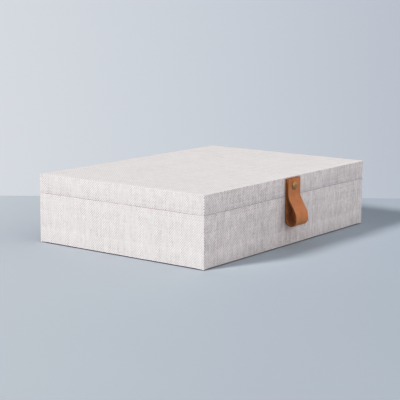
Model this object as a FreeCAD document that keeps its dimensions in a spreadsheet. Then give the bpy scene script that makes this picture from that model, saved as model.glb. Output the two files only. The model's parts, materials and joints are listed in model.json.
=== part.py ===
"""Linen-covered document box with a hinged flush lid and a riveted leather pull.

Millimetres, +Z up. The origin is the middle of the underside, the front faces -Y, and +X is to the
right of someone facing the front. Greyboard walls are wrapped in linen, a paper-covered neck frame
stands up out of the tray inside the lid, a linen band hinges the lid at the back, and a folded
leather strap hangs from a two-part rivet in the lid's front.
"""
import FreeCAD, Part
import math
import os
import types
import Sketcher

# The driving dimensions: alias, value, what it is.
DIMENSIONS = [
    ("box_width", 330.0, "outside, left to right"),
    ("box_depth", 232.0, "outside, front to back, without the pull and the hinge band"),
    ("base_height", 57.0, "floor to the tray's rim"),
    ("lid_height", 21.7, "lid's rim to its top"),
    ("lid_gap", 0.3, "between the two rims when closed"),
    ("cloth", 0.6, "backed linen"),
    ("tape", 0.15, "corner tape, and the glue line under the cloth"),
    ("paper", 0.25, "lining paper"),
    ("base_board", 3.0, "greyboard of the tray's walls"),
    ("top_board", 2.5, "greyboard of the lid's top"),
    ("floor_board", 2.5, "greyboard of the tray's floor"),
    ("neck_board", 2.0, "greyboard of the neck frame"),
    ("neck_rise", 6.0, "neck above the tray's rim"),
    ("lid_fit", 0.75, "lid's lining to the neck"),
    ("neck_lap", 16.0, "neck's paper tucked down behind the tray's rim"),
    ("corner_ease", 0.8, "boards' upright corners eased under the cloth"),
    ("edge_ease", 0.5, "boards' other outside edges eased under the cloth"),
    ("rim_ease", 0.5, "round on a rim's inside edge"),
    ("turn_in", 14.0, "cloth turned in over a rim or under the floor"),
    ("lining_margin", 1.5, "lid's rim to the edge of its lining"),
    ("under_card", 0.9, "card under the tray"),
    ("under_card_inset", 1.6, "that card's edge in from the tray's side"),
    ("tape_leg", 18.0, "corner tape along each board"),
    ("band_reach", 18.0, "hinge band above and below the seam"),
    ("band_inset", 3.0, "hinge band's end in from the side"),
    ("strap_width", 25.0, "leather strap"),
    ("leather", 1.9, "leather thickness"),
    ("strap_seat", 0.25, "cloth to the back of the strap"),
    ("strap_drop", 1.6, "lid's top to the strap's top"),
    ("strap_corner", 0.8, "round on the strap's top corners"),
    ("flex_drop", 15.6, "strap's top to the line where it bends"),
    ("press", 0.8, "leaves still pressed together below the bend line"),
    ("loop_depth", 15.3, "loop's widest, from the strap's back"),
    ("loop_slope", 31.0, "front leaf's lean from upright, in degrees"),
    ("loop_upper", 16.5, "radius where the front leaf leaves the flat"),
    ("loop_lower", 22.0, "radius where it turns back to upright"),
    ("apex_drop", 3.0, "from where the front leaf turns to the top of the finger gap"),
    ("rivet_drop", 8.6, "strap's top to the rivet's axis"),
    ("rivet_head", 4.75, "radius of the domed cap"),
    ("rivet_rise", 1.9, "cap's height"),
    ("rivet_rim", 0.5, "upright edge of the cap"),
    ("rivet_stem", 1.9, "radius of the cap's stem"),
    ("rivet_pin", 1.3, "radius of the post's pin"),
    ("rivet_back", 4.4, "radius of the post's flat head"),
    ("rivet_back_thick", 0.6, "post's flat head"),
    ("cap_play", 0.1, "leather to the underside of the cap"),
    ("strap_play", 0.05, "strap's hole round the stem, on radius"),
    ("hole_play", 0.1, "holes in board, cloth and paper round the stem, on radius"),
    ("pin_play", 0.03, "pin in the stem's socket, on radius"),
    ("pin_end_play", 0.3, "pin's end to the end of its socket"),
]


class Length:
    """A value with the expression that gives it from the sheet's aliases."""

    def __init__(self, value, text):
        self.value = value
        self.text = text

    def __add__(self, other):
        other = as_length(other)
        return Length(self.value + other.value, f"({self.text} + {other.text})")

    def __sub__(self, other):
        other = as_length(other)
        return Length(self.value - other.value, f"({self.text} - {other.text})")

    def __mul__(self, number):
        return Length(self.value * number, f"({self.text} * {number})")

    def __truediv__(self, number):
        return self * (1 / number)

    def __neg__(self):
        return self * -1

    def __radd__(self, number):
        return as_length(number) + self

    def __rmul__(self, number):
        return self * number


def as_length(thing):
    return thing if isinstance(thing, Length) else Length(thing, str(thing))


ZERO = Length(0.0, "0")

doc = FreeCAD.newDocument("DocumentBox")
sheet = doc.addObject("Spreadsheet::Sheet", "Sizes")
size = types.SimpleNamespace()
for row, (alias, value, note) in enumerate(DIMENSIONS, start=1):
    sheet.set(f"A{row}", alias)
    sheet.set(f"B{row}", str(value))
    sheet.set(f"C{row}", note)
    sheet.setAlias(f"B{row}", alias)
    setattr(size, alias, Length(value, f"Sizes.{alias}"))
doc.recompute()

# Worked out from those. An inset is a distance in from the box's outside.
core_inset = size.cloth + size.tape
base_slot_inset = core_inset + size.base_board
base_wall = base_slot_inset + size.cloth
lid_board = size.base_board - size.paper - size.lid_fit
lid_slot_inset = core_inset + lid_board
lid_wall = lid_slot_inset + size.cloth
lid_inside = lid_wall + size.paper
neck_outer = base_wall + size.paper
neck_inner = neck_outer + size.neck_board
neck_wall = neck_inner + size.paper
board_foot = size.under_card + size.cloth
floor_top = board_foot + size.floor_board
neck_top = size.base_height + size.neck_rise
lid_rim = size.base_height + size.lid_gap
lid_board_foot = lid_rim + size.cloth
lid_top = lid_rim + size.lid_height
ceiling = lid_top - size.cloth - size.top_board
seam = size.base_height + size.lid_gap / 2
front = size.box_depth / 2
strap_top = lid_top - size.strap_drop
bend_line = strap_top - size.flex_drop
rivet_axis = strap_top - size.rivet_drop
rivet_hole = size.rivet_stem + size.hole_play
corner_round = size.cloth + size.corner_ease
edge_round = size.cloth + size.edge_ease


# ---- bodies, sketches and features ----
def bind(thing, path, length):
    thing.setExpression(path, length.text)


def new_body(label, x=ZERO, y=ZERO, z=ZERO, turned=None):
    """A body at x, y, z, with its own axes turned by an (axis, degrees) pair."""
    body = doc.addObject("PartDesign::Body", label)
    body.Label = label
    if turned:
        body.Placement = FreeCAD.Placement(FreeCAD.Vector(0, 0, 0), FreeCAD.Rotation(*turned))
    for name, length in zip("xyz", (x, y, z)):
        bind(body, f"Placement.Base.{name}", length)
    return body


def new_sketch(body, role, offset=ZERO, rise=ZERO):
    """A sketch on an origin plane, moved by offset along its normal and by rise up its own Y."""
    sketch = body.newObject("Sketcher::SketchObject", f"{body.Label}_sketch")
    plane = next(feature for feature in body.Origin.OriginFeatures if feature.Role == role)
    sketch.AttachmentSupport = (plane, [""])
    sketch.MapMode = "FlatFace"
    bind(sketch, "AttachmentOffset.Base.z", offset)
    bind(sketch, "AttachmentOffset.Base.y", rise)
    return sketch


def constrain(sketch, kind, *where):
    return sketch.addConstraint(Sketcher.Constraint(kind, *where))


def measure(sketch, kind, *where, length):
    """A constraint whose value follows the sheet, where an angle is in degrees."""
    first_value = math.radians(length.value) if kind == "Angle" else length.value
    number = constrain(sketch, kind, *where, first_value)
    name = f"{kind.lower()}_{number}"
    sketch.renameConstraint(number, name)
    bind(sketch, f"Constraints.{name}", length)


def fix_point(sketch, shape, end, x, y):
    """Puts one end of a shape at x, y from the sketch's origin."""
    for kind, axis, length in (("DistanceX", -2, x), ("DistanceY", -1, y)):
        if length is ZERO:
            constrain(sketch, "PointOnObject", shape, end, axis)
        elif length.value > 0:
            measure(sketch, kind, -1, 1, shape, end, length=length)
        else:
            measure(sketch, kind, shape, end, -1, 1, length=-length)


def line(sketch, start, end):
    ends = [FreeCAD.Vector(x, y, 0) for x, y in (start, end)]
    return sketch.addGeometry(Part.LineSegment(*ends), False)


def circle(sketch, radius):
    centre, up = FreeCAD.Vector(0, 0, 0), FreeCAD.Vector(0, 0, 1)
    shape = sketch.addGeometry(Part.Circle(centre, up, radius.value), False)
    constrain(sketch, "Coincident", shape, 3, -1, 1)
    measure(sketch, "Radius", shape, length=radius)


def arc(sketch, centre, radius, first, last):
    """An arc counter-clockwise between two directions in degrees. Its start is end 1."""
    whole = Part.Circle(FreeCAD.Vector(*centre, 0), FreeCAD.Vector(0, 0, 1), radius)
    return sketch.addGeometry(Part.ArcOfCircle(whole, math.radians(first), math.radians(last)), False)


def polygon(sketch, points):
    """A closed outline through points whose coordinates follow the sheet."""
    spots = [(x.value, y.value) for x, y in points]
    sides = [line(sketch, spot, spots[(i + 1) % len(spots)]) for i, spot in enumerate(spots)]
    for i, side in enumerate(sides):
        constrain(sketch, "Coincident", side, 2, sides[(i + 1) % len(sides)], 1)
        fix_point(sketch, side, 1, *points[i])


def rectangle(sketch, width, height):
    """A rectangle centred on the sketch's origin."""
    x, y = width.value / 2, height.value / 2
    corners = [(-x, -y), (x, -y), (x, y), (-x, y)]
    sides = [line(sketch, corner, corners[(i + 1) % 4]) for i, corner in enumerate(corners)]
    for i, side in enumerate(sides):
        constrain(sketch, "Coincident", side, 2, sides[(i + 1) % 4], 1)
        constrain(sketch, "Vertical" if i % 2 else "Horizontal", side)
    constrain(sketch, "Symmetric", sides[0], 1, sides[2], 1, -1, 1)
    measure(sketch, "DistanceX", sides[0], 1, sides[0], 2, length=width)
    measure(sketch, "DistanceY", sides[1], 1, sides[1], 2, length=height)


def pad(body, sketch, length, side="One side"):
    feature = body.newObject("PartDesign::Pad", f"{body.Label}_pad")
    feature.Profile = sketch
    feature.SideType = side
    bind(feature, "Length", length)
    doc.recompute()


def pocket(body, sketch, length, side="One side"):
    """Cuts up along the sketch's normal, or to both sides of it."""
    before = body.Shape.Volume
    feature = body.newObject("PartDesign::Pocket", f"{body.Label}_pocket")
    feature.Profile = sketch
    feature.SideType = side
    feature.Reversed = True
    bind(feature, "Length", length)
    doc.recompute()
    if body.Shape.Volume >= before:
        raise RuntimeError(f"a pocket in {body.Label} cuts nothing")


def turn(body, sketch):
    feature = body.newObject("PartDesign::Revolution", f"{body.Label}_turned")
    feature.Profile = sketch
    feature.ReferenceAxis = (sketch, ["V_Axis"])
    feature.Angle = 360
    doc.recompute()


def fillet(body, radius, chosen):
    """Rounds the edges that chosen accepts, given an edge and its middle."""
    tip = body.Tip
    names = []
    for number, edge in enumerate(tip.Shape.Edges, start=1):
        middle = edge.valueAt((edge.FirstParameter + edge.LastParameter) / 2)
        if chosen(edge, middle):
            names.append(f"Edge{number}")
    feature = body.newObject("PartDesign::Fillet", f"{body.Label}_fillet")
    feature.Base = (tip, names)
    bind(feature, "Radius", radius)
    doc.recompute()


# ---- rectangles measured in from the box's outside ----
def inset_rectangle(sketch, inset):
    rectangle(sketch, size.box_width - 2 * inset, size.box_depth - 2 * inset)


def add_level(body, insets, foot, top, cut=False):
    """A block, or a frame where there are two insets, between two heights: added or cut away."""
    sketch = new_sketch(body, "XY_Plane", foot)
    for inset in insets:
        inset_rectangle(sketch, inset)
    (pocket if cut else pad)(body, sketch, top - foot)


def side_gaps(point):
    """How far a point is in from the box's nearer side, and from its front or back."""
    return size.box_width.value / 2 - abs(point.x), size.box_depth.value / 2 - abs(point.y)


def round_corners(body):
    fillet(body, corner_round, lambda edge, middle: edge.BoundBox.ZLength > 1 and max(side_gaps(middle)) < 1e-4)


def round_rim(body, height, radius, inset=ZERO):
    """Rounds the level edges at a height that lie on the outside, or on an opening's wall."""
    slack = corner_round.value / 2 if inset is ZERO else 1e-4

    def chosen(edge, middle):
        level = edge.BoundBox.ZLength < 1e-4 and abs(middle.z - height.value) < 1e-4
        return level and abs(min(side_gaps(middle)) - inset.value) < slack

    fillet(body, radius, chosen)


def drill_front(body, depth):
    """A hole through the front wall for the rivet's stem, in a body that isn't moved."""
    hole = new_sketch(body, "XZ_Plane", front, rivet_axis)
    circle(hole, rivet_hole)
    pocket(body, hole, 2 * depth, side="Symmetric")


# ---- boards ----
def board(label, width, depth, height, x=ZERO, y=ZERO, z=ZERO):
    body = new_body(label, x, y, z)
    outline = new_sketch(body, "XY_Plane")
    rectangle(outline, width, depth)
    pad(body, outline, height)


def walls(prefix, outer, thickness, foot, top):
    """Front and back boards run the whole width, and the side boards stand between them.

    The front one is drawn in place, so that it can be drilled.
    """
    middle_x = size.box_width / 2 - outer - thickness / 2
    middle_y = size.box_depth / 2 - outer - thickness / 2
    along = size.box_width - 2 * outer
    across = size.box_depth - 2 * outer - 2 * thickness
    board(f"{prefix}_back_board", along, thickness, top - foot, y=middle_y, z=foot)
    board(f"{prefix}_left_board", thickness, across, top - foot, x=-middle_x, z=foot)
    board(f"{prefix}_right_board", thickness, across, top - foot, x=middle_x, z=foot)
    body = new_body(f"{prefix}_front_board")
    face = new_sketch(body, "XZ_Plane", front - outer - thickness, (foot + top) / 2)
    rectangle(face, along, top - foot)
    pad(body, face, thickness)
    return body


def base_boards():
    walls("base", core_inset, size.base_board, board_foot, size.base_height - size.cloth)
    inside = 2 * base_slot_inset
    board("base_floor_board", size.box_width - inside, size.box_depth - inside, size.floor_board, z=board_foot)
    inset = 2 * size.under_card_inset
    board("under_card", size.box_width - inset, size.box_depth - inset, size.under_card)


def neck_boards():
    walls("neck", neck_outer, size.neck_board, floor_top, neck_top - size.paper)


def lid_boards():
    pierced = walls("lid", core_inset, lid_board, lid_board_foot, ceiling)
    drill_front(pierced, lid_wall)
    inside = 2 * core_inset
    board("lid_top_board", size.box_width - inside, size.box_depth - inside, size.top_board, z=ceiling)


def corner_tapes(label, foot, top):
    """An angle of tape over each upright corner of the boards."""
    body = new_body(label, z=foot)
    outline = new_sketch(body, "XY_Plane")
    outer_x = size.box_width / 2 - size.cloth
    outer_y = size.box_depth / 2 - size.cloth
    inner_x, inner_y = outer_x - size.tape, outer_y - size.tape
    end_x, end_y = outer_x - size.tape_leg, outer_y - size.tape_leg
    angle = [(outer_x, outer_y), (end_x, outer_y), (end_x, inner_y),
             (inner_x, inner_y), (inner_x, end_y), (outer_x, end_y)]
    for x_side in (-1, 1):
        for y_side in (-1, 1):
            polygon(outline, [(x_side * x, y_side * y) for x, y in angle])
    pad(body, outline, top - foot)


# ---- cloth and paper ----
def base_cover():
    """Wraps the tray's walls, goes over the rim and down inside, and turns in under the floor."""
    body = new_body("base_cover")
    rim = size.base_height
    add_level(body, [ZERO, base_wall], size.under_card, rim)
    add_level(body, [size.cloth, base_slot_inset], board_foot, rim - size.cloth, cut=True)
    add_level(body, [base_slot_inset, base_wall], board_foot, rim - size.turn_in, cut=True)
    add_level(body, [base_wall, size.turn_in], size.under_card, board_foot)
    round_corners(body)
    round_rim(body, rim, edge_round)
    round_rim(body, size.under_card, edge_round)
    round_rim(body, rim, size.rim_ease, inset=base_wall)


def lid_cover():
    """Covers the lid's top and walls, and goes over its rim and up inside."""
    body = new_body("lid_cover")
    add_level(body, [ZERO], lid_rim, lid_top)
    add_level(body, [lid_wall], lid_rim, ceiling, cut=True)
    add_level(body, [size.cloth, lid_slot_inset], lid_board_foot, ceiling, cut=True)
    add_level(body, [lid_slot_inset, lid_wall], lid_rim + size.turn_in, ceiling, cut=True)
    add_level(body, [size.cloth], ceiling, lid_top - size.cloth, cut=True)
    round_corners(body)
    round_rim(body, lid_top, edge_round)
    round_rim(body, lid_rim, edge_round)
    round_rim(body, lid_rim, size.rim_ease, inset=lid_wall)
    drill_front(body, lid_wall)


def neck_wrap():
    """Papers the neck inside, over its top, and outside as far as the lap behind the tray's rim."""
    body = new_body("neck_wrap")
    add_level(body, [base_wall, neck_wall], floor_top, neck_top)
    add_level(body, [neck_outer, neck_inner], floor_top, neck_top - size.paper, cut=True)
    add_level(body, [base_wall, neck_outer], floor_top, size.base_height - size.neck_lap, cut=True)


def floor_lining():
    add_level(new_body("floor_lining"), [neck_wall], floor_top, floor_top + size.paper)


def lid_lining():
    """Papers the lid's walls and the underside of its top."""
    body = new_body("lid_lining")
    edge = lid_rim + size.lining_margin
    add_level(body, [lid_wall], edge, ceiling)
    add_level(body, [lid_inside], edge, ceiling - size.paper, cut=True)
    drill_front(body, lid_inside)


def hinge_band():
    """One strip of linen over the back of the seam, as a leaf on each side of its crease."""
    width = size.box_width - 2 * size.band_inset
    middle_y = size.box_depth / 2 + size.cloth / 2
    board("hinge_band_base_leaf", width, size.cloth, size.band_reach, y=middle_y, z=seam - size.band_reach)
    board("hinge_band_lid_leaf", width, size.cloth, size.band_reach, y=middle_y, z=seam)


# ---- the pull ----
# The strap's own Y points out of the lid's front, from the strap's back.
FACING_OUT = (FreeCAD.Vector(0, 0, 1), 180)


def strap_root():
    """The riveted end of the strap, with both leaves of the leather flat on the lid."""
    body = new_body("strap_root", y=-(front + size.strap_seat), z=rivet_axis, turned=FACING_OUT)
    face = new_sketch(body, "XZ_Plane", -2 * size.leather, size.rivet_drop - size.flex_drop / 2)
    rectangle(face, size.strap_width, size.flex_drop)
    pad(body, face, 2 * size.leather)
    hole = new_sketch(body, "XZ_Plane")
    circle(hole, size.rivet_stem + size.strap_play)
    pocket(body, hole, 6 * size.leather, side="Symmetric")

    def is_top_corner(edge, middle):
        return edge.BoundBox.YLength > 1 and abs(middle.z - size.rivet_drop.value) < 1e-4

    fillet(body, size.strap_corner, is_top_corner)


def loop_side(sketch, inward):
    """One face of the hanging leather, seen from the side: its outside, or its inside.

    inward is how far the face lies inside the outside one. The bend line is at 0, 0 on the
    strap's back, the first coordinate is outward and the second is up.
    """
    depth, slope = size.loop_depth.value, size.loop_slope.value
    lean_sin, lean_cos = math.sin(math.radians(slope)), math.cos(math.radians(slope))
    bend_radius, lower_radius, upper_radius = size.loop_depth / 2, size.loop_lower, size.loop_upper
    both_radii = upper_radius.value + lower_radius.value
    straight = (depth - 2 * size.leather.value - both_radii * (1 - lean_cos)) / lean_sin
    parting = -size.press.value
    foot = parting - both_radii * lean_sin - straight * lean_cos
    bend_centre = (depth / 2, foot)
    lower_centre = (depth - lower_radius.value, foot)
    upper_centre = (2 * size.leather.value + upper_radius.value, parting)

    hollow = inward is not ZERO
    top, first_angle = 0.0, 180.0
    if hollow:
        bend_radius, lower_radius = bend_radius - inward, lower_radius - inward
        upper_radius = upper_radius + inward
        top = parting - size.apex_drop.value
        first_angle += math.degrees(math.asin(size.apex_drop.value / upper_radius.value))
    low, high = lower_radius.value, upper_radius.value
    lean_foot = (lower_centre[0] + low * lean_cos, foot + low * lean_sin)
    lean_head = (upper_centre[0] - high * lean_cos, parting - high * lean_sin)
    front_x = upper_centre[0] + high * math.cos(math.radians(first_angle))

    back = line(sketch, (inward.value, top), (inward.value, foot))
    bend = arc(sketch, bend_centre, bend_radius.value, 180, 360)
    lower = arc(sketch, lower_centre, low, 0, slope)
    lean = line(sketch, lean_foot, lean_head)
    upper = arc(sketch, upper_centre, high, first_angle, 180 + slope)
    cap = line(sketch, (front_x, top), (inward.value, top))
    for joined in ((back, 2, bend, 1), (bend, 2, lower, 1), (lower, 2, lean, 1), (lean, 2, upper, 2)):
        constrain(sketch, "Tangent", *joined)
    constrain(sketch, "Coincident", cap, 2, back, 1)
    constrain(sketch, "Vertical", back)
    constrain(sketch, "Horizontal", cap)
    constrain(sketch, "Horizontal", bend, 3, lower, 3)
    measure(sketch, "Angle", lean, length=90 + size.loop_slope)
    for shape, radius in ((bend, bend_radius), (lower, lower_radius), (upper, upper_radius)):
        measure(sketch, "Radius", shape, length=radius)
    if hollow:
        constrain(sketch, "Coincident", upper, 1, cap, 1)
        fix_point(sketch, back, 1, inward, -(size.press + size.apex_drop))
        fix_point(sketch, upper, 3, 2 * size.leather + size.loop_upper, -size.press)
    else:
        leaves = line(sketch, (front_x, parting), (front_x, top))
        constrain(sketch, "Tangent", upper, 1, leaves, 1)
        constrain(sketch, "Coincident", leaves, 2, cap, 1)
        fix_point(sketch, back, 1, ZERO, ZERO)
        fix_point(sketch, leaves, 1, 2 * size.leather, -size.press)


def strap_loop():
    """The hanging loop below the bend line, with its finger gap."""
    body = new_body("strap_loop", y=-(front + size.strap_seat), z=bend_line, turned=FACING_OUT)
    outside = new_sketch(body, "YZ_Plane")
    loop_side(outside, ZERO)
    pad(body, outside, size.strap_width, side="Symmetric")
    inside = new_sketch(body, "YZ_Plane")
    loop_side(inside, size.leather)
    pocket(body, inside, 2 * size.strap_width, side="Symmetric")


# The rivet's own Z points out of the lid's front, from the back of the post's flat head.
ON_RIVET_AXIS = (FreeCAD.Vector(1, 0, 0), 90)
rivet_foot = front - lid_inside - size.rivet_back_thick
cloth_face = size.rivet_back_thick + lid_inside
leaf_middle = cloth_face + size.strap_seat + size.leather
cap_foot = leaf_middle + size.leather + size.cap_play
socket_radius = size.rivet_pin + size.pin_play


def rivet_cap():
    """Domed cap and its hollow stem."""
    body = new_body("rivet_cap", y=-rivet_foot, z=rivet_axis, turned=ON_RIVET_AXIS)
    sketch = new_sketch(body, "XZ_Plane")
    rim_top = cap_foot + size.rivet_rim
    dome_top = cap_foot + size.rivet_rise
    points = [(ZERO, dome_top), (ZERO, leaf_middle), (socket_radius, leaf_middle),
              (socket_radius, size.rivet_back_thick), (size.rivet_stem, size.rivet_back_thick),
              (size.rivet_stem, cap_foot), (size.rivet_head, cap_foot), (size.rivet_head, rim_top)]
    spots = [(x.value, y.value) for x, y in points]
    sides = [line(sketch, *ends) for ends in zip(spots, spots[1:])]
    for first, second in zip(sides, sides[1:]):
        constrain(sketch, "Coincident", first, 2, second, 1)
    for side, point in zip(sides, points):
        fix_point(sketch, side, 1, *point)
    fix_point(sketch, sides[-1], 2, *points[-1])
    reach, rise = size.rivet_head.value, dome_top.value - rim_top.value
    ball = (reach ** 2 + rise ** 2) / (2 * rise)
    rim_angle = math.degrees(math.acos(reach / ball))
    dome = arc(sketch, (0, dome_top.value - ball), ball, rim_angle, 90)
    constrain(sketch, "Coincident", dome, 1, sides[-1], 2)
    constrain(sketch, "Coincident", dome, 2, sides[0], 1)
    constrain(sketch, "PointOnObject", dome, 3, -2)
    turn(body, sketch)


def rivet_post():
    """Flat head inside the lid, and the pin that is pressed into the cap's stem."""
    body = new_body("rivet_post", y=-rivet_foot, z=rivet_axis, turned=ON_RIVET_AXIS)
    sketch = new_sketch(body, "XZ_Plane")
    pin_end = leaf_middle - size.pin_end_play
    polygon(sketch, [(ZERO, ZERO), (size.rivet_back, ZERO), (size.rivet_back, size.rivet_back_thick),
                     (size.rivet_pin, size.rivet_back_thick), (size.rivet_pin, pin_end), (ZERO, pin_end)])
    turn(body, sketch)


# ---- the whole box ----
base_boards()
neck_boards()
lid_boards()
corner_tapes("base_corner_tapes", board_foot, size.base_height - size.cloth)
corner_tapes("lid_corner_tapes", lid_board_foot, ceiling)
base_cover()
lid_cover()
neck_wrap()
floor_lining()
lid_lining()
hinge_band()
strap_root()
strap_loop()
rivet_cap()
rivet_post()
doc.recompute()

for thing in doc.Objects:
    if {"Invalid", "Error"} & set(thing.State):
        raise RuntimeError(f"{thing.Label} failed: {thing.State}")
pieces = [thing for thing in doc.Objects if thing.TypeId == "PartDesign::Body"]
for piece in pieces:
    if piece.Shape.isNull() or not piece.Shape.isValid():
        raise RuntimeError(f"{piece.Label} has no valid shape")
os.makedirs("parts", exist_ok=True)
for piece in pieces:
    piece.Shape.exportStep(f"parts/{piece.Label}.step")
    print(f"{piece.Label}: {len(piece.Shape.Solids)} solid(s), {piece.Shape.Volume / 1000:.3f} cm3")
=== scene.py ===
# A linen-covered document box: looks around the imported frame
import json
import math

import bpy
from mathutils import Matrix, Vector


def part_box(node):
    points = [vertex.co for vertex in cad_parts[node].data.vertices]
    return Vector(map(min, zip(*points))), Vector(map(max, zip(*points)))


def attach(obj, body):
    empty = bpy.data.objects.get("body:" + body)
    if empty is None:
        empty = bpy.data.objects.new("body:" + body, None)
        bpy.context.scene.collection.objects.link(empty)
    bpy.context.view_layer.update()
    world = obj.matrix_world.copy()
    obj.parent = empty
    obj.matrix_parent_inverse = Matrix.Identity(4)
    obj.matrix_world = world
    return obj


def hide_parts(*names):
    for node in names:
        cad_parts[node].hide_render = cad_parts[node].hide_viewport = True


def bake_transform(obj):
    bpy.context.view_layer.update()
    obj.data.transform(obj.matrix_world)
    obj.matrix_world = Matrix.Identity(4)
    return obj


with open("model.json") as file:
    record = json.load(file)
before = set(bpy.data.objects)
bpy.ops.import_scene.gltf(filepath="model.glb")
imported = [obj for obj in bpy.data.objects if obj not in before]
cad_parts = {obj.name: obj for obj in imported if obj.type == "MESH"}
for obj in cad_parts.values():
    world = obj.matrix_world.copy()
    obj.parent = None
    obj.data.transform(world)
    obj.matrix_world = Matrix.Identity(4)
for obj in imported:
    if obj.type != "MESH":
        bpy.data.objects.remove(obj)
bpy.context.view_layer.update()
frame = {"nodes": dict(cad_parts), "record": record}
nodes = frame["nodes"]
mm = 0.001
touching = 0.01 * mm  # nearer than this counts as the same place

lidLow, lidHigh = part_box("lid_cover")
baseLow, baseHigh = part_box("base_cover")
rootLow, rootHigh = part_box("strap_root")
loopLow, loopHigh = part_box("strap_loop")
capLow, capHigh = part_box("rivet_cap")
postLow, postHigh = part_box("rivet_post")
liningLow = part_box("lid_lining")[0]
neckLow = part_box("neck_wrap")[0]
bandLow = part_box("hinge_band_base_leaf")[0]
lidLeafLow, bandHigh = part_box("hinge_band_lid_leaf")
seamHeight = lidLeafLow.z
rivetHeight = (capLow.z + capHigh.z) / 2


# working in edit mode
def only(piece):  # deselect everything else, so operators touch just this piece
    if bpy.context.object and bpy.context.object.mode != "OBJECT":
        bpy.ops.object.mode_set(mode="OBJECT")
    bpy.ops.object.select_all(action="DESELECT")
    piece.select_set(True)
    bpy.context.view_layer.objects.active = piece


def pickFaces(piece, wanted):
    bpy.ops.object.mode_set(mode="EDIT")
    bpy.ops.mesh.select_mode(type="FACE")
    bpy.ops.mesh.select_all(action="DESELECT")
    bpy.ops.object.mode_set(mode="OBJECT")
    for face in piece.data.polygons:
        face.select = wanted(face)
    bpy.ops.object.mode_set(mode="EDIT")


def pickEdges(piece, wanted):  # wanted gets the edge's two ends
    bpy.ops.object.mode_set(mode="EDIT")
    bpy.ops.mesh.select_mode(type="EDGE")
    bpy.ops.mesh.select_all(action="DESELECT")
    bpy.ops.object.mode_set(mode="OBJECT")
    points = piece.data.vertices
    for edge in piece.data.edges:
        edge.select = wanted(points[edge.vertices[0]].co, points[edge.vertices[1]].co)
    bpy.ops.object.mode_set(mode="EDIT")


def startBox(name, low, high):
    bpy.ops.object.select_all(action="DESELECT")
    bpy.ops.mesh.primitive_cube_add(size=1, location=(low + high) / 2, scale=high - low)
    piece = bpy.context.object
    piece.name = name
    only(piece)
    bpy.ops.object.transform_apply(location=True, rotation=True, scale=True)
    return piece


def cutEvery(step, low, high, axis):  # bisect the picked mesh at even steps along one axis
    count = max(1, round((high - low) / step))
    for i in range(1, count):
        place = [0.0, 0.0, 0.0]
        place[axis] = low + (high - low) * i / count
        normal = [0.0, 0.0, 0.0]
        normal[axis] = 1.0
        bpy.ops.mesh.select_all(action="SELECT")
        bpy.ops.mesh.bisect(plane_co=place, plane_no=normal)


def applyAll(piece):
    only(piece)
    for modifier in list(piece.modifiers):
        bpy.ops.object.modifier_apply(modifier=modifier.name)


def rippleCloth(piece, size, height):  # hand-laid cloth is never quite flat
    ripple = bpy.data.textures.new(f"{piece.name}Ripple", "CLOUDS")
    ripple.noise_scale = size
    ripple.noise_depth = 1
    displace = piece.modifiers.new("ripple", "DISPLACE")
    displace.texture = ripple
    displace.texture_coords = "LOCAL"
    displace.strength = height
    displace.mid_level = 0.5


def thicken(piece, thickness, inward=True, backSlot=0, rimSlot=0):
    wall = piece.modifiers.new("thickness", "SOLIDIFY")
    wall.thickness = thickness
    wall.offset = -1 if inward else 1
    wall.use_even_offset = True
    wall.material_offset = backSlot
    wall.material_offset_rim = rimSlot


def layClothMap(piece, shift):  # a flat map in metres, on the plane that each face is nearest to
    clothMap = piece.data.uv_layers.active
    clothMap.name = "cloth"
    points = piece.data.vertices
    for face in piece.data.polygons:
        x, y, z = (abs(value) for value in face.normal)
        across, up = (1, 2) if x > max(y, z) else (0, 2) if y > z else (0, 1)
        for corner in face.loop_indices:
            place = points[piece.data.loops[corner].vertex_index].co
            clothMap.data[corner].uv = (place[across] + shift[0], place[up] + shift[1])


def finishPiece(piece, materials, smoothAngle=40):
    for material in materials:  # before the modifiers, which pick slots for the back and the rim
        piece.data.materials.append(material)
    applyAll(piece)
    bpy.ops.object.shade_smooth_by_angle(angle=math.radians(smoothAngle))


def cutHole(piece, centre, radius, depth):  # a round hole along Y
    bpy.ops.object.select_all(action="DESELECT")
    bpy.ops.mesh.primitive_cylinder_add(vertices=32, radius=radius, depth=depth, location=centre,
                                        rotation=(math.radians(90), 0, 0))
    cutter = bpy.context.object
    hole = piece.modifiers.new("hole", "BOOLEAN")
    hole.operation = "DIFFERENCE"
    hole.solver = "EXACT"
    hole.object = cutter
    only(piece)
    bpy.ops.object.modifier_apply(modifier="hole")
    bpy.data.objects.remove(cutter)


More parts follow.
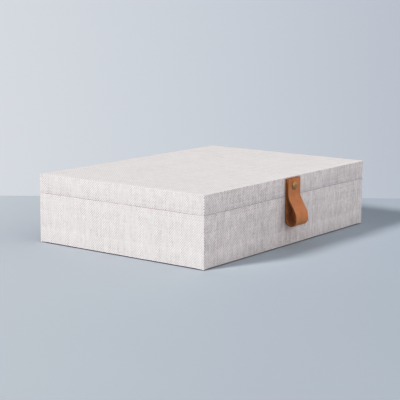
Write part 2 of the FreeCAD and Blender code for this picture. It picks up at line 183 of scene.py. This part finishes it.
# node helpers
class shaderGraph:  # a short way to add and join shader nodes
    def __init__(self, name):
        self.material = bpy.data.materials.new(name)
        self.material.use_nodes = True
        self.tree = self.material.node_tree
        self.shader = next(n for n in self.tree.nodes if n.type == "BSDF_PRINCIPLED")

    def node(self, kind, settings=None, **inputs):
        made = self.tree.nodes.new(kind)
        for name, value in (settings or {}).items():
            setattr(made, name, value)
        for name, value in inputs.items():
            self.feed(made, name, value)
        return made

    def feed(self, made, name, value):
        socket = made.inputs[int(name[1:])] if name[0] == "i" and name[1:].isdigit() else made.inputs[name]
        if isinstance(value, bpy.types.NodeSocket):
            self.tree.links.new(value, socket)
        else:
            socket.default_value = value

    def math(self, operation, *values, clamp=False):
        made = self.node("ShaderNodeMath", {"operation": operation, "use_clamp": clamp})
        for i, value in enumerate(values):
            self.feed(made, f"i{i}", value)
        return made.outputs[0]

    def noise(self, vector, scale, detail=2.0, roughness=0.5):
        return self.node("ShaderNodeTexNoise", Vector=vector, Scale=scale, Detail=detail,
                         Roughness=roughness).outputs["Fac"]

    def spread(self, value, low, high, to=(0.0, 1.0)):  # map range, clamped
        made = self.node("ShaderNodeMapRange", Value=value)
        for name, number in zip(("From Min", "From Max", "To Min", "To Max"), (low, high, *to)):
            made.inputs[name].default_value = number
        return made.outputs["Result"]

    def combine(self, x, y, z=0.0):
        return self.node("ShaderNodeCombineXYZ", X=x, Y=y, Z=z).outputs[0]

    def mix(self, factor, first, second, blend="MIX"):  # sockets 0, 6 and 7 are the colour mix's
        made = self.node("ShaderNodeMix", {"data_type": "RGBA", "blend_type": blend})
        self.feed(made, "i0", factor)
        self.feed(made, "i6", first)
        self.feed(made, "i7", second)
        return made.outputs[2]

    def bump(self, height, strength, distance):
        made = self.node("ShaderNodeBump", Height=height, Strength=strength, Distance=distance)
        self.feed(self.shader, "Normal", made.outputs[0])

    def objectPlace(self):
        return self.node("ShaderNodeTexCoord").outputs["Object"]


def rgb(red, green, blue):  # from 0 to 255, as a screen shows them
    def linear(value):
        value /= 255
        return value / 12.92 if value <= 0.04045 else ((value + 0.055) / 1.055) ** 2.4
    return (linear(red), linear(green), linear(blue), 1.0)


# materials
linen = {
    "pitch": 1.45 * mm,
    "wander": 0.25 * mm,  # how far the yarns stray
    "wanderScale": 60,
    "light": rgb(252, 246, 247),
    "dark": rgb(178, 172, 171),
    "gap": 0.82,  # shade between the yarns
    "gapWidth": 0.55,
    "crown": 0.45,  # how much one yarn rises where it passes over
    "baseTone": 0.6,
    "warpSlub": 0.46,
    "warpSlubLength": 12 * mm,
    "weftSlub": 0.27,
    "weftSlubLength": 7 * mm,
    "slubRelief": 0.9,
    "fleck": 0.3,
    "fleckScale": 620,
    "cloud": 0.16,
    "cloudScale": 26,
    "checker": 0.48,
    "threadTone": 0.14,
    "bumpDepth": 0.16 * mm,
    "roughness": 0.92,
    "shine": 0.15,
    "sheen": 0.7,
    "sheenRoughness": 0.35,
}


def makeLinen(name, seed):
    g = shaderGraph(name)
    flat = g.node("ShaderNodeUVMap", {"uv_map": "cloth"}).outputs[0]
    parts = g.node("ShaderNodeSeparateXYZ", Vector=flat)
    across, along = parts.outputs[0], parts.outputs[1]
    spot = g.combine(across, along, seed)
    turned = g.combine(along, across, seed + 7)
    warpDrift = g.math("SUBTRACT", g.noise(spot, linen["wanderScale"]), 0.5)
    weftDrift = g.math("SUBTRACT", g.noise(turned, linen["wanderScale"]), 0.5)
    warpLine = g.math("MULTIPLY_ADD", warpDrift, linen["wander"] * 2, across)
    weftLine = g.math("MULTIPLY_ADD", weftDrift, linen["wander"] * 2, along)
    warpPlace = g.math("DIVIDE", warpLine, linen["pitch"])  # counts the yarns
    weftPlace = g.math("DIVIDE", weftLine, linen["pitch"])
    warpWave = g.math("SINE", g.math("MULTIPLY", warpPlace, math.pi))
    weftWave = g.math("SINE", g.math("MULTIPLY", weftPlace, math.pi))
    over = g.math("MULTIPLY", warpWave, weftWave)  # above 0 where the warp passes over
    crown, flank = linen["crown"], 1 - linen["crown"]
    warpTop = g.math("MULTIPLY", g.math("ABSOLUTE", warpWave), g.math("MULTIPLY_ADD", over, crown, flank))
    weftTop = g.math("MULTIPLY", g.math("ABSOLUTE", weftWave), g.math("MULTIPLY_ADD", over, -crown, flank))
    weave = g.math("MAXIMUM", warpTop, weftTop)

    def slub(yarn, along, length, offset):  # each yarn thickens and thins along its own length
        number = g.math("MULTIPLY", g.math("FLOOR", yarn), 3.7)  # far enough apart to be unlike
        stretched = g.combine(number, g.math("DIVIDE", along, length), seed + offset)
        return g.math("SUBTRACT", g.noise(stretched, 1.0, 2, 0.6), 0.5)

    def threadTone(place, offset):  # each yarn has a tone of its own
        number = g.math("ADD", g.math("FLOOR", place), seed * 31 + offset)
        tone = g.node("ShaderNodeTexWhiteNoise", {"noise_dimensions": "1D"}, W=number).outputs["Value"]
        return g.math("SUBTRACT", tone, 0.5)

    warpSlub = slub(warpPlace, along, linen["warpSlubLength"], 11)
    weftSlub = slub(weftPlace, across, linen["weftSlubLength"], 23)
    fleck = g.math("SUBTRACT", g.noise(spot, linen["fleckScale"], 2, 0.7), 0.5)
    cloud = g.math("SUBTRACT", g.noise(spot, linen["cloudScale"], 3, 0.6), 0.5)
    tone = g.math("MULTIPLY_ADD", warpSlub, linen["warpSlub"] * 2, linen["baseTone"])
    tone = g.math("MULTIPLY_ADD", weftSlub, linen["weftSlub"] * 2, tone)
    tone = g.math("MULTIPLY_ADD", fleck, linen["fleck"] * 2, tone)
    tone = g.math("MULTIPLY_ADD", cloud, linen["cloud"] * 2, tone)
    tone = g.math("MULTIPLY_ADD", over, linen["checker"], tone)
    tone = g.math("MULTIPLY_ADD", threadTone(warpPlace, 3), linen["threadTone"], tone)
    tone = g.math("MULTIPLY_ADD", threadTone(weftPlace, 5), linen["threadTone"] * 0.8, tone, clamp=True)
    yarn = g.mix(tone, linen["dark"], linen["light"])
    shade = g.spread(weave, 0.0, linen["gapWidth"], (linen["gap"], 1.0))
    colour = g.mix(1.0, yarn, g.combine(shade, shade, shade), "MULTIPLY")
    g.feed(g.shader, "Base Color", colour)
    g.shader.inputs["Roughness"].default_value = linen["roughness"]
    g.shader.inputs["Specular IOR Level"].default_value = linen["shine"]
    g.shader.inputs["Sheen Weight"].default_value = linen["sheen"]
    g.shader.inputs["Sheen Roughness"].default_value = linen["sheenRoughness"]
    raised = g.math("MULTIPLY_ADD", g.math("ADD", warpSlub, weftSlub), linen["slubRelief"], weave)
    g.bump(raised, 0.5, linen["bumpDepth"])
    return g.material


leather = {
    "tan": rgb(216, 149, 90),
    "deep": rgb(188, 120, 64),
    "edge": rgb(176, 104, 52),
    "edgeDark": rgb(124, 68, 30),
    "flesh": rgb(200, 138, 98),
    "fleshDark": rgb(160, 94, 58),
    "grain": 0.55 * mm,
    "poreWidth": 0.22,
    "poreShade": 0.16,
    "mottleScale": 90,
    "fibreScale": 900,
    "shine": 0.35,
    "fibreShine": 0.1,
}


def makeLeather(name, light, dark, roughness, grainDepth, fibre=False):
    g = shaderGraph(name)
    place = g.objectPlace()
    mottle = g.noise(place, leather["mottleScale"], 4, 0.6)
    fine = g.noise(place, leather["fibreScale"], 3, 0.6)
    cells = g.node("ShaderNodeTexVoronoi", {"feature": "DISTANCE_TO_EDGE"}, Vector=place)
    cells.inputs["Scale"].default_value = 1 / leather["grain"]
    pores = g.spread(cells.outputs["Distance"], 0.0, leather["poreWidth"])
    tone = g.math("MULTIPLY_ADD", g.math("SUBTRACT", fine, 0.5), 0.5, mottle)
    colour = g.mix(g.spread(tone, 0.25, 0.75), dark, light)
    if not fibre:
        colour = g.mix(g.spread(pores, 0.0, 1.0, (leather["poreShade"], 0.0)), colour, dark)
    g.feed(g.shader, "Base Color", colour)
    g.feed(g.shader, "Roughness", g.spread(fine, 0.2, 0.8, (roughness - 0.08, roughness + 0.08)))
    g.shader.inputs["Specular IOR Level"].default_value = leather["fibreShine" if fibre else "shine"]
    height = fine if fibre else g.math("MULTIPLY_ADD", fine, 0.5, pores)
    g.bump(height, 0.5, grainDepth)
    return g.material


brass = {
    "bright": rgb(212, 172, 122),
    "tarnish": rgb(166, 122, 74),
    "tarnishScale": 420,
    "roughness": 0.42,
    "scratches": (900, 900, 5200),
    "scratchDepth": 0.05 * mm,
}


def makeBrass():
    g = shaderGraph("antiqueBrass")
    place = g.objectPlace()
    worn = g.spread(g.noise(place, brass["tarnishScale"], 4, 0.65), 0.35, 0.7)
    drawn = g.node("ShaderNodeMapping", Vector=place, Scale=brass["scratches"]).outputs[0]
    scratches = g.noise(drawn, 1.0)
    g.feed(g.shader, "Base Color", g.mix(worn, brass["tarnish"], brass["bright"]))
    g.shader.inputs["Metallic"].default_value = 1.0
    smooth, rough = brass["roughness"] - 0.08, brass["roughness"] + 0.12
    g.feed(g.shader, "Roughness", g.spread(scratches, 0.2, 0.8, (smooth, rough)))
    g.bump(scratches, 0.12, brass["scratchDepth"])
    return g.material


papers = {  # light, dark, size of the flecks, how much they show, roughness
    "liningPaper": (rgb(240, 237, 231), rgb(232, 229, 222), 0.5 * mm, 1.4, 0.9),
    "greyboard": (rgb(158, 154, 146), rgb(120, 117, 111), 0.8 * mm, 2.0, 0.9),
    "kraftTape": (rgb(186, 152, 112), rgb(160, 126, 88), 0.6 * mm, 1.5, 0.9),
    # the underside card is a real backing sheet, made near black so the strip under the box's foot also
    # shows painted contact shade
    "contactShadeCard": (rgb(46, 46, 48), rgb(26, 26, 28), 0.5 * mm, 1.2, 0.85),
}


paper = {"cloudScale": 30, "shine": 0.25, "bump": 0.35, "bumpDepth": 0.05 * mm}


def makePaper(name):
    light, dark, fleckSize, fleck, roughness = papers[name]
    g = shaderGraph(name)
    place = g.objectPlace()
    pulp = g.noise(place, 1 / fleckSize, 4, 0.65)
    cloud = g.noise(place, paper["cloudScale"], 2)
    tone = g.math("MULTIPLY_ADD", g.math("SUBTRACT", pulp, 0.5), fleck, cloud)
    g.feed(g.shader, "Base Color", g.mix(g.spread(tone, 0.3, 0.7), dark, light))
    g.shader.inputs["Roughness"].default_value = roughness
    g.shader.inputs["Specular IOR Level"].default_value = paper["shine"]
    g.bump(pulp, paper["bump"], paper["bumpDepth"])
    return g.material


lidLinen = makeLinen("lidLinen", 1.0)
baseLinen = makeLinen("baseLinen", 4.0)
bandLinen = makeLinen("bandLinen", 9.0)
strapGrain = makeLeather("tanLeather", leather["tan"], leather["deep"], 0.5, 0.08 * mm)
strapFlesh = makeLeather("leatherFlesh", leather["flesh"], leather["fleshDark"], 0.95, 0.12 * mm, True)
strapEdge = makeLeather("leatherEdge", leather["edge"], leather["edgeDark"], 0.55, 0.06 * mm, True)
rivetBrass = makeBrass()
liningPaper = makePaper("liningPaper")
greyBoard = makePaper("greyboard")
kraftTape = makePaper("kraftTape")
contactShadeCard = makePaper("contactShadeCard")
print("materials made")


# linen covers
cover = {
    "cloth": 0.6 * mm,
    "edgeRound": 1.1 * mm,
    "footRound": 0.7 * mm,
    "rimRound": 0.35 * mm,
    "roundSteps": 4,
    "cornerReach": 6 * mm,
    "cornerDip": 0.6 * mm,  # the foot's corners reach down
    "cornerClose": 0.11 * mm,  # the rims' corners nearly meet
    "rimBand": 0.5 * mm,  # how near a rim or the foot a point moves with its corner
    "footBand": 0.3 * mm,
    "turnIn": 14 * mm,
    "gridStep": 9 * mm,
    "rippleSize": 35 * mm,
    "rippleHeight": 0.22 * mm,
    "rivetHole": 2.0 * mm,
    "rivetHoleDepth": 12 * mm,
    "lidClothShift": (0.31, 0.17),  # where on the bolt each piece is cut
    "baseClothShift": (0.05, 0.43),
}


def roundEdges(piece, low, high, radius, level=None):  # its edges at one height, or its upright corners
    def outside(point):
        side = abs(abs(point.x) - high.x)
        end = min(abs(point.y - low.y), abs(point.y - high.y))
        return min(side, end) < touching

    def wanted(first, second):
        if not (outside(first) and outside(second)):
            return False
        if level is None:
            return abs(first.z - second.z) > touching
        return max(abs(first.z - level), abs(second.z - level)) < touching

    pickEdges(piece, wanted)
    bpy.ops.mesh.bevel(offset=radius, segments=cover["roundSteps"], affect="EDGES", profile=0.5)


def foldOver(piece, height, facing, wall, turnIn):  # a rim: in by the wall, then back along its inside
    pickFaces(piece, lambda face: abs(face.center.z - height) < touching and face.normal.z * facing > 0.5)
    bpy.ops.mesh.inset(thickness=wall)
    bpy.ops.mesh.extrude_region_move(TRANSFORM_OT_translate={"value": (0, 0, -facing * turnIn)})
    bpy.ops.mesh.delete(type="FACE")


def foldUnder(piece, height, turnIn):
    pickFaces(piece, lambda face: abs(face.center.z - height) < touching and face.normal.z < -0.5)
    bpy.ops.mesh.inset(thickness=turnIn)
    bpy.ops.mesh.delete(type="FACE")


def nudgeCorners(piece, low, high, level, reach, amount):  # folded corners are a little fuller than edges
    for point in piece.data.vertices:
        place = point.co
        away = math.hypot(high.x - abs(place.x), min(place.y - low.y, high.y - place.y))
        if abs(place.z - level) < reach and away < cover["cornerReach"]:
            place.z += amount * (1 - away / cover["cornerReach"])


def gridCover(piece, low, high):
    bpy.ops.object.mode_set(mode="EDIT")
    cutEvery(cover["gridStep"], low.x, high.x, 0)
    cutEvery(cover["gridStep"], low.y, high.y, 1)
    cutEvery(cover["gridStep"], low.z, high.z, 2)
    bpy.ops.object.mode_set(mode="OBJECT")


def makeLidCover():
    piece = startBox("lidCoverLinen", lidLow, lidHigh)
    foldOver(piece, lidLow.z, -1, liningLow.x - lidLow.x, cover["turnIn"])
    roundEdges(piece, lidLow, lidHigh, cover["rimRound"], lidLow.z)
    roundEdges(piece, lidLow, lidHigh, cover["edgeRound"], lidHigh.z)
    roundEdges(piece, lidLow, lidHigh, cover["edgeRound"])
    gridCover(piece, lidLow, lidHigh)
    nudgeCorners(piece, lidLow, lidHigh, lidLow.z, cover["rimBand"], -cover["cornerClose"])
    rippleCloth(piece, cover["rippleSize"], cover["rippleHeight"])
    thicken(piece, cover["cloth"])
    finishPiece(piece, [lidLinen])
    cutHole(piece, (0, lidLow.y, rivetHeight), cover["rivetHole"], cover["rivetHoleDepth"])
    layClothMap(piece, cover["lidClothShift"])
    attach(piece, "lid")
    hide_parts("lid_cover")


def makeBaseCover():
    piece = startBox("baseCoverLinen", baseLow, baseHigh)
    foldOver(piece, baseHigh.z, 1, neckLow.x - baseLow.x, cover["turnIn"])
    foldUnder(piece, baseLow.z, cover["turnIn"])
    roundEdges(piece, baseLow, baseHigh, cover["rimRound"], baseHigh.z)
    roundEdges(piece, baseLow, baseHigh, cover["footRound"], baseLow.z)
    roundEdges(piece, baseLow, baseHigh, cover["edgeRound"])
    gridCover(piece, baseLow, baseHigh)
    nudgeCorners(piece, baseLow, baseHigh, baseHigh.z, cover["rimBand"], cover["cornerClose"])
    nudgeCorners(piece, baseLow, baseHigh, baseLow.z, cover["footBand"], -cover["cornerDip"])
    rippleCloth(piece, cover["rippleSize"], cover["rippleHeight"])
    thicken(piece, cover["cloth"])
    finishPiece(piece, [baseLinen])
    layClothMap(piece, cover["baseClothShift"])
    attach(piece, "base")
    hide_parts("base_cover")


makeLidCover()
makeBaseCover()
print("linen covers made")


# hinge band
band = {
    "crease": 0.35 * mm,
    "creaseWidth": 1.4 * mm,
    "bend": 1.2 * mm,  # it bends within this of the seam
    "thickness": 0.55 * mm,
    "acrossSteps": 60,
    "upSteps": 48,
    "clothShift": (0.2, 0.6),
}


def makeBand():
    width, height = bandHigh.x - bandLow.x, bandHigh.z - bandLow.z
    bpy.ops.object.select_all(action="DESELECT")
    bpy.ops.mesh.primitive_grid_add(x_subdivisions=band["acrossSteps"], y_subdivisions=band["upSteps"],
                                    size=1, location=(0, bandHigh.y, (bandLow.z + bandHigh.z) / 2),
                                    rotation=(math.radians(90), 0, math.radians(180)))
    piece = bpy.context.object
    piece.name = "hingeBandLinen"
    piece.scale = (width, height, 1)
    only(piece)
    bpy.ops.object.transform_apply(location=True, rotation=True, scale=True)
    for point in piece.data.vertices:  # pressed a little into the seam
        off = (point.co.z - seamHeight) / band["creaseWidth"]
        point.co.y -= band["crease"] * math.exp(-off * off)
    thicken(piece, band["thickness"])
    finishPiece(piece, [bandLinen])
    layClothMap(piece, band["clothShift"])
    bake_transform(piece)
    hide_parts("hinge_band_base_leaf", "hinge_band_lid_leaf")


makeBand()
print("hinge band made")


# leather pull
pull = {
    "slope": math.radians(31),  # the front leaf's lean
    "upperBend": 16.5 * mm,
    "lowerBend": 22 * mm,
    "slack": 0.04 * mm,
    "alongSteps": 132,
    "acrossSteps": 20,
    "edgeRound": 0.28 * mm,
    "dimple": 0.16 * mm,  # pressed in by the rivet's cap
    "dimpleRadius": 5.2 * mm,
    "bendAbove": 0.4 * mm,
    "bendBelow": 2.24 * mm,
    "insideLoop": 8 * mm,  # a place in the loop's hollow, up from its foot
}


def strapRoute():  # the outside face, down the back leaf and up the front one, as lengths and turns
    depth = loopHigh.y - loopLow.y
    leatherPair = rootHigh.y - rootLow.y
    slope, upper, lower = pull["slope"], pull["upperBend"], pull["lowerBend"]
    straight = (depth - leatherPair - (upper + lower) * (1 - math.cos(slope))) / math.sin(slope)
    middle = loopLow.z + depth / 2
    rise = (lower + upper) * math.sin(slope) + straight * math.cos(slope)
    return [
        (rootHigh.z - middle, 0),
        (math.pi * depth / 2, math.pi),
        (lower * slope, slope),
        (straight, 0),
        (upper * slope, -slope),
        (rootHigh.z - middle - rise, 0),
    ]


def placeOnRoute(route, distance):  # outward and up from the back leaf's top, by following the leather
    outward, height, heading = 0.0, 0.0, -math.pi / 2
    for length, turn in route:
        step = min(distance, length)
        part = step / length
        if turn:
            radius = length / abs(turn)
            side = 1 if turn > 0 else -1
            middleOut = outward - side * radius * math.sin(heading)
            middleUp = height + side * radius * math.cos(heading)
            heading += turn * part
            outward = middleOut + side * radius * math.sin(heading)
            height = middleUp - side * radius * math.cos(heading)
        else:
            outward += step * math.cos(heading)
            height += step * math.sin(heading)
        distance -= step
        if distance <= 0:
            break
    return outward, height


def makeStrap():
    route = strapRoute()
    total = sum(length for length, _ in route)
    width = rootHigh.x - rootLow.x
    thickness = (rootHigh.y - rootLow.y) / 2 - pull["slack"]
    bpy.ops.object.select_all(action="DESELECT")
    bpy.ops.mesh.primitive_grid_add(x_subdivisions=pull["acrossSteps"], y_subdivisions=pull["alongSteps"],
                                    size=1)
    piece = bpy.context.object
    piece.name = "pullStrapLeather"
    piece.scale = (width, total, 1)
    only(piece)
    bpy.ops.object.transform_apply(location=True, rotation=True, scale=True)
    for point in piece.data.vertices:  # the flat strip follows the folded route
        outward, height = placeOnRoute(route, point.co.y + total / 2)
        near = math.hypot(point.co.x, rootHigh.z + height - rivetHeight) / pull["dimpleRadius"]
        if outward > thickness:
            outward -= pull["dimple"] * math.exp(-near ** 4)
        point.co = (point.co.x, rootHigh.y - outward, rootHigh.z + height)
    bpy.ops.object.mode_set(mode="EDIT")
    bpy.ops.mesh.select_all(action="SELECT")
    bpy.ops.mesh.normals_make_consistent(inside=False)
    bpy.ops.object.mode_set(mode="OBJECT")
    middle = piece.data.polygons[len(piece.data.polygons) // 2]
    loopMiddle = Vector((0, (loopLow.y + loopHigh.y) / 2, loopLow.z + pull["insideLoop"]))
    if middle.normal.dot(middle.center - loopMiddle) < 0:
        bpy.ops.object.mode_set(mode="EDIT")
        bpy.ops.mesh.flip_normals()
        bpy.ops.object.mode_set(mode="OBJECT")
    thicken(piece, thickness, backSlot=1, rimSlot=2)
    finishPiece(piece, [strapGrain, strapFlesh, strapEdge])
    bpy.ops.object.mode_set(mode="EDIT")
    bpy.ops.mesh.select_mode(type="EDGE")
    bpy.ops.mesh.select_all(action="DESELECT")
    bpy.ops.mesh.edges_select_sharp(sharpness=math.radians(60))
    bpy.ops.mesh.bevel(offset=pull["edgeRound"], segments=3, affect="EDGES", profile=0.5)
    bpy.ops.object.mode_set(mode="OBJECT")
    only(piece)
    bpy.ops.object.shade_smooth_by_angle(angle=math.radians(50))
    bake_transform(piece)
    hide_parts("strap_root", "strap_loop")
    print("strap length", round(total, 4))


makeStrap()
print("leather pull made")


# rivet
rivet = {
    "sides": 48,
    "stem": 1.9 * mm,
    "crown": 1.9 * mm,
    "head": 0.6 * mm,
    "headBevel": 0.15 * mm,
    "headEdge": 0.2 * mm,
    "pin": 1.3 * mm,
    # millimetres of radius and of height above the cap's foot, from the underside to the crown
    "cap": [(4.35, 0.0), (4.62, 0.06), (4.75, 0.2), (4.75, 0.42), (4.66, 0.56), (4.4, 0.7), (3.9, 0.98),
            (3.2, 1.32), (2.4, 1.6), (1.6, 1.78), (0.8, 1.87), (0.25, 1.9)],
}


def turnedPiece(name, profile, foot, height):  # steps of a circle, pushed out along -Y from foot
    bpy.ops.object.select_all(action="DESELECT")
    bpy.ops.mesh.primitive_circle_add(vertices=rivet["sides"], radius=profile[0][0], fill_type="NGON",
                                      location=(0, 0, profile[0][1]))
    piece = bpy.context.object
    piece.name = name
    only(piece)
    bpy.ops.object.transform_apply(location=True, rotation=False, scale=False)
    bpy.ops.object.mode_set(mode="EDIT")
    bpy.ops.mesh.select_all(action="SELECT")
    for (radius, out), (nextRadius, nextOut) in zip(profile, profile[1:]):
        bpy.ops.mesh.extrude_region_move(TRANSFORM_OT_translate={"value": (0, 0, nextOut - out)})
        grow = nextRadius / radius
        bpy.ops.transform.resize(value=(grow, grow, 1), center_override=(0, 0, nextOut))
    bpy.ops.mesh.select_all(action="SELECT")
    bpy.ops.mesh.normals_make_consistent(inside=False)
    bpy.ops.object.mode_set(mode="OBJECT")
    piece.rotation_euler = (math.radians(90), 0, 0)
    piece.location = (0, foot, height)
    bpy.ops.object.transform_apply(location=True, rotation=True, scale=True)
    return piece


def makeRivet():
    capFoot = capLow.y + rivet["crown"]
    stemLength = capHigh.y - capFoot
    profile = [(rivet["stem"], -stemLength), (rivet["stem"], 0.0)]
    profile += [(radius * mm, out * mm) for radius, out in rivet["cap"]]
    cap = turnedPiece("rivetCapBrass", profile, capFoot, rivetHeight)
    finishPiece(cap, [rivetBrass], 50)
    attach(cap, "lid")
    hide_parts("rivet_cap")
    headRadius = (postHigh.x - postLow.x) / 2
    profile = [(headRadius - rivet["headEdge"], 0), (headRadius, rivet["headBevel"]),
               (headRadius, rivet["head"]), (rivet["pin"], rivet["head"]),
               (rivet["pin"], postHigh.y - postLow.y)]
    post = turnedPiece("rivetPostBrass", profile, postHigh.y, rivetHeight)
    finishPiece(post, [rivetBrass], 50)
    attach(post, "lid")
    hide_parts("rivet_post")


makeRivet()
print("rivet made")


# boards, papers and tape keep their frame shapes
finishOf = {
    "linen": baseLinen,
    "greyboard": greyBoard,
    "lining_paper": liningPaper,
    "kraft_tape": kraftTape,
    "black_card": contactShadeCard,
    "tan_leather": strapGrain,
    "brass": rivetBrass,
}
for entry in frame["record"]["subparts"]:
    node = nodes[entry["node"]]
    node.data.materials.clear()
    node.data.materials.append(finishOf[entry["material_slot"]])
print("frame nodes finished")


# studio
view = {
    "turn": math.radians(-53.37),
    "rise": math.radians(9.87),
    "roll": math.radians(0.42),
    "away": 1.41507,
    "aim": Vector((-0.00586, 0.00779, 0.03895)),
    "lens": 107.14,
}
studio = {
    # painted light: the floor is painted lighter on the left, where the window light and the left face's
    # bounce fall, and darker to the right; the paler back half is painted the same way
    "paintedLitFloorLeft": rgb(198, 204, 209),
    "paintedShadeFloorRight": rgb(170, 181, 192),
    "paintedLitBackLeft": rgb(210, 217, 226),
    "paintedShadeBackRight": rgb(187, 194, 203),
    "backStart": 0.2484,  # how far behind the box's middle the paler half begins
    "size": 120.0,
    "cloudScale": 5,
    "cloudDrift": 0.08,  # how far the clouds bend the painted change from light to shade across the near half
    "driftFrom": -0.4,
    "driftTo": 0.45,
    "sweepFrom": 1.43,  # the paler half is painted darker to one side, a painted falloff of light, seen from this far in front
    "sweepWidth": 0.17,
    "skyCool": (0.74, 0.94, 1.18, 1.0),
    "skyWarm": (1.0, 0.945, 0.885, 1.0),
    "skyAway": 0.02,  # the room is dim behind the box and bright in front of it
    "skyToward": 1.05,
    "skyFrom": -0.75,  # how far round it starts to brighten, as a cosine
    "skySeen": rgb(206, 214, 221),
    "brightTurn": math.radians(-68),
    "brightRise": math.radians(15),
    "keyStrength": 2.7,
    "keyWidth": math.radians(12),
    "keyTurn": math.radians(160),  # where it comes from, counter-clockwise from +X
    "keyRise": math.radians(33),
    "keyColour": (1.0, 0.93, 0.88),
    "fillStrength": 0.13,  # the room's far side, low and to the right of the front
    "fillWidth": math.radians(40),
    "fillTurn": math.radians(-48),
    "fillRise": math.radians(7),
    "fillColour": (1.0, 0.96, 0.97),
}


def aimed(turn, rise):
    return Vector((math.cos(turn) * math.cos(rise), math.sin(turn) * math.cos(rise), math.sin(rise)))


def makeFloor():
    bpy.ops.object.select_all(action="DESELECT")
    bpy.ops.mesh.primitive_grid_add(x_subdivisions=4, y_subdivisions=4, size=studio["size"])
    floor = bpy.context.object
    floor.name = "studioFloor"
    g = shaderGraph("floorToneAndPaintedLight")
    place = g.objectPlace()
    turned = g.node("ShaderNodeMapping", Vector=place, Rotation=(0, 0, -math.radians(90) - view["turn"]))
    parts = g.node("ShaderNodeSeparateXYZ", Vector=turned.outputs[0])
    back, side = parts.outputs[0], g.math("MULTIPLY", parts.outputs[1], -1)
    cloud = g.noise(place, studio["cloudScale"], 3)
    # painted light and shade: the near half goes from painted lit on the left to painted shade on the
    # right
    bent = g.math("MULTIPLY_ADD", cloud, studio["cloudDrift"], side)
    paintedShadeAcross = g.spread(bent, studio["driftFrom"], studio["driftTo"])
    near = g.mix(paintedShadeAcross, studio["paintedLitFloorLeft"], studio["paintedShadeFloorRight"])
    # painted light: the paler back half is painted darker towards the right
    sweep = g.math("DIVIDE", side, g.math("ADD", back, studio["sweepFrom"]))
    dim = g.spread(sweep, -studio["sweepWidth"], studio["sweepWidth"])
    far = g.mix(dim, studio["paintedLitBackLeft"], studio["paintedShadeBackRight"])
    g.feed(g.shader, "Base Color", g.mix(g.math("GREATER_THAN", back, studio["backStart"]), near, far))
    g.shader.inputs["Roughness"].default_value = 0.8
    g.shader.inputs["Specular IOR Level"].default_value = 0.1
    floor.data.materials.append(g.material)


def makeLights():
    world = bpy.data.worlds.new("studioSky")
    bpy.context.scene.world = world
    world.use_nodes = True
    tree = world.node_tree
    sky = next(n for n in tree.nodes if n.type == "BACKGROUND")
    place, dot = tree.nodes.new("ShaderNodeTexCoord"), tree.nodes.new("ShaderNodeVectorMath")
    dot.operation = "DOT_PRODUCT"
    dot.inputs[1].default_value = aimed(studio["brightTurn"], studio["brightRise"])
    tree.links.new(place.outputs["Generated"], dot.inputs[0])
    level = tree.nodes.new("ShaderNodeMapRange")
    for name, value in (("From Min", studio["skyFrom"]), ("From Max", 1.0), ("To Min", studio["skyAway"]),
                        ("To Max", studio["skyToward"])):
        level.inputs[name].default_value = value
    tree.links.new(dot.outputs["Value"], level.inputs["Value"])
    tree.links.new(level.outputs["Result"], sky.inputs["Strength"])
    tint = tree.nodes.new("ShaderNodeMix")
    tint.data_type = "RGBA"
    tint.inputs[6].default_value, tint.inputs[7].default_value = studio["skyCool"], studio["skyWarm"]
    tree.links.new(level.outputs["Result"], tint.inputs[0])
    tree.links.new(tint.outputs[2], sky.inputs["Color"])
    seen = tree.nodes.new("ShaderNodeBackground")
    seen.inputs["Color"].default_value = studio["skySeen"]
    ray, mixed = tree.nodes.new("ShaderNodeLightPath"), tree.nodes.new("ShaderNodeMixShader")
    output = next(n for n in tree.nodes if n.type == "OUTPUT_WORLD")
    tree.links.new(ray.outputs["Is Camera Ray"], mixed.inputs[0])
    tree.links.new(sky.outputs[0], mixed.inputs[1])
    tree.links.new(seen.outputs[0], mixed.inputs[2])
    tree.links.new(mixed.outputs[0], output.inputs["Surface"])
    for name, kind in (("windowLight", "key"), ("roomFill", "fill")):
        toLight = aimed(studio[f"{kind}Turn"], studio[f"{kind}Rise"])
        bpy.ops.object.light_add(type="SUN", location=toLight * 3)
        lamp = bpy.context.object
        lamp.name = name
        lamp.rotation_euler = toLight.to_track_quat("Z", "Y").to_euler()
        lamp.data.energy = studio[f"{kind}Strength"]
        lamp.data.angle = studio[f"{kind}Width"]
        lamp.data.color = studio[f"{kind}Colour"]


def makeCamera():
    back = aimed(view["turn"] - math.radians(90), view["rise"])
    bpy.ops.object.camera_add(location=view["aim"] + back * view["away"])
    camera = bpy.context.object
    camera.name = "studioCamera"
    turned = back.to_track_quat("Z", "Y").to_matrix()
    camera.rotation_euler = (turned @ Matrix.Rotation(view["roll"], 3, "Z")).to_euler()
    camera.data.lens = view["lens"]
    camera.data.sensor_width = 36
    bpy.context.scene.camera = camera


makeFloor()
makeLights()
makeCamera()
toneCurve = [(0.05, 0.04), (0.27, 0.222), (0.46, 0.45), (0.67, 0.71), (0.82, 0.795)]  # firmer middles
shown = bpy.context.scene.view_settings
shown.view_transform = "Standard"
shown.use_curve_mapping = True
for place in toneCurve:
    shown.curve_mapping.curves[3].points.new(*place)
shown.curve_mapping.curves[3].points[-1].location = (1, 0.9)  # and softer whites
shown.curve_mapping.update()
print("studio ready")
